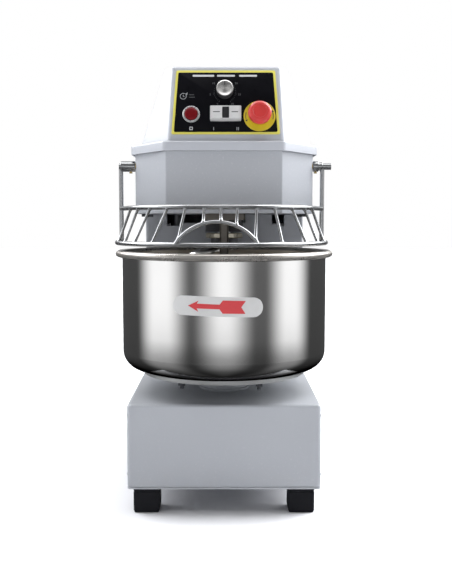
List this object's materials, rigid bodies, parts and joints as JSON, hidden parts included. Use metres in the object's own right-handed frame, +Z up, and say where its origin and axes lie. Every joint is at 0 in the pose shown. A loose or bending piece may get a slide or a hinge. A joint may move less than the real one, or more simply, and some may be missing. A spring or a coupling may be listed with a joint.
{
  "type": "spiral dough mixer",
  "caption": "Floor-standing spiral dough mixer with a turning stainless bowl, spiral hook, fixed breaker bar, hinged wire guard and sloping control panel.",
  "frame": {"origin": "on the floor under the feet, in the middle of the machine's plan box", "axes": "+X to the operator's right when facing the machine, +Y towards the rear, +Z up"},
  "size_m": [0.387, 0.68, 0.7485],
  "materials": {
    "grey_paint": "semi-gloss powder coat",
    "hood_shell": "semi-gloss moulded shell",
    "dark_steel": "satin black paint",
    "bowl_steel": "polished stainless steel",
    "guard_steel": "bright plated rod",
    "tool_steel": "machined stainless steel",
    "plain_steel": "machined steel",
    "zinc_steel": "zinc plated",
    "pulley_iron": "turned cast iron",
    "belt_rubber": "matt rubber",
    "foot_rubber": "matt rubber",
    "brass": "turned brass",
    "panel_film": "printed film",
    "bezel": "bright bezel",
    "switch_silver": "silver moulding",
    "red_lens": "tinted lens",
    "red_cap": "glossy moulding",
    "yellow_plate": "glossy plate",
    "black_plastic": "matt moulding",
    "knob_alu": "turned face",
    "arrow_film": "printed film",
    "motor_paint": "motor enamel",
    "light_plastic": "matt moulding"
  },
  "bodies": {
    "frame": {"base_shell": "grey_paint", "base_plate": "plain_steel", "column_shell": "grey_paint", "rear_cover": "grey_paint", "cover_screws": "zinc_steel", "feet": "foot_rubber", "foot_bolts": "zinc_steel", "head_shell": "grey_paint", "head_floor": "dark_steel", "head_bolts": "dark_steel", "hood": "hood_shell", "control_panel": "panel_film", "stop_button_bezel": "bezel", "switch_housing": "switch_silver", "estop_disc": "yellow_plate", "estop_body": "black_plastic", "timer_body": "black_plastic", "breaker_bar": "tool_steel", "spindle_housing": "dark_steel", "ball_bearings": "plain_steel", "bowl_bearing_housing": "grey_paint", "motor": "motor_paint", "motor_bracket": "plain_steel", "motor_belt": "belt_rubber", "spindle_belt": "belt_rubber", "bowl_belt": "belt_rubber", "lay_shaft_bearings": "pulley_iron", "guard_bushings": "brass", "guard_switch": "black_plastic", "control_box": "light_plastic", "cable_gland": "black_plastic"},
    "bowl_group": {"bowl": "bowl_steel", "turntable": "plain_steel", "bowl_shaft": "plain_steel", "bowl_pulley": "pulley_iron", "bowl_bolts": "dark_steel", "arrow_plate": "arrow_film"},
    "hook_group": {"spindle_shaft": "plain_steel", "spindle_collar": "plain_steel", "spiral_hook": "tool_steel", "spindle_pulley": "pulley_iron", "spindle_small_pulley": "pulley_iron"},
    "lay_group": {"lay_shaft": "plain_steel", "lay_top_pulley": "pulley_iron", "lay_low_pulley": "pulley_iron"},
    "rotor_group": {"motor_rotor": "plain_steel", "motor_pulley": "pulley_iron"},
    "guard_group": {"guard_ring": "guard_steel", "guard_rail": "guard_steel", "guard_arms": "guard_steel", "guard_arch": "guard_steel", "guard_ribs": "guard_steel", "guard_shafts": "guard_steel", "guard_set_screws": "brass"},
    "timer_dial": {"timer_knob": "knob_alu"},
    "stop_cap": {"stop_button": "red_lens"},
    "low_key": {"low_speed_button": "switch_silver"},
    "high_key": {"high_speed_button": "switch_silver"},
    "estop_stem": {"estop_plunger": "black_plastic"},
    "estop_head": {"estop_mushroom": "red_cap"}
  },
  "joints": [
    {"name": "hook_spin", "type": "hinge", "parent": "frame", "child": "hook_group", "pos_m": [0, -0.057, 0.48], "axis": [0, 0, -1], "continuous": true},
    {"name": "bowl_spin", "type": "hinge", "parent": "frame", "child": "bowl_group", "pos_m": [0, -0.147, 0.215], "axis": [0, 0, -1], "continuous": true},
    {"name": "lay_shaft_spin", "type": "hinge", "parent": "frame", "child": "lay_group", "pos_m": [-0.1, 0.115, 0.3], "axis": [0, 0, -1], "continuous": true},
    {"name": "motor_spin", "type": "hinge", "parent": "frame", "child": "rotor_group", "pos_m": [0.04, 0.215, 0.4], "axis": [0, 0, -1], "continuous": true},
    {"name": "guard_hinge", "type": "hinge", "parent": "frame", "child": "guard_group", "pos_m": [0, -0.117, 0.5805], "axis": [-1, 0, 0], "range_deg": [0, 65]},
    {"name": "timer_turn", "type": "hinge", "parent": "frame", "child": "timer_dial", "pos_m": [0.0015, -0.19175, 0.70507], "axis": [0, 0.9659, -0.2588], "range_deg": [0, 300]},
    {"name": "stop_press", "type": "slide", "parent": "frame", "child": "stop_cap", "axis": [0, 0.9659, -0.2588], "range_m": [0, 0.003], "stiffness_N_per_m": 400, "springref_m": -0.002},
    {"name": "low_speed_press", "type": "slide", "parent": "frame", "child": "low_key", "axis": [0, 0.9659, -0.2588], "range_m": [0, 0.003], "stiffness_N_per_m": 400, "springref_m": -0.002},
    {"name": "high_speed_press", "type": "slide", "parent": "frame", "child": "high_key", "axis": [0, 0.9659, -0.2588], "range_m": [0, 0.003], "stiffness_N_per_m": 400, "springref_m": -0.002},
    {"name": "estop_press", "type": "slide", "parent": "frame", "child": "estop_stem", "axis": [0, 0.9659, -0.2588], "range_m": [0, 0.004], "stiffness_N_per_m": 600, "springref_m": -0.002},
    {"name": "estop_twist", "type": "hinge", "parent": "estop_stem", "child": "estop_head", "pos_m": [0.0607, -0.21074, 0.66512], "axis": [0, 0.9659, -0.2588], "range_deg": [0, 40]}
  ],
  "couplings": [
    {"joint": "bowl_spin", "follows": "hook_spin", "ratio": 0.1},
    {"joint": "lay_shaft_spin", "follows": "hook_spin", "ratio": 0.5},
    {"joint": "motor_spin", "follows": "hook_spin", "ratio": 4.5}
  ]
}
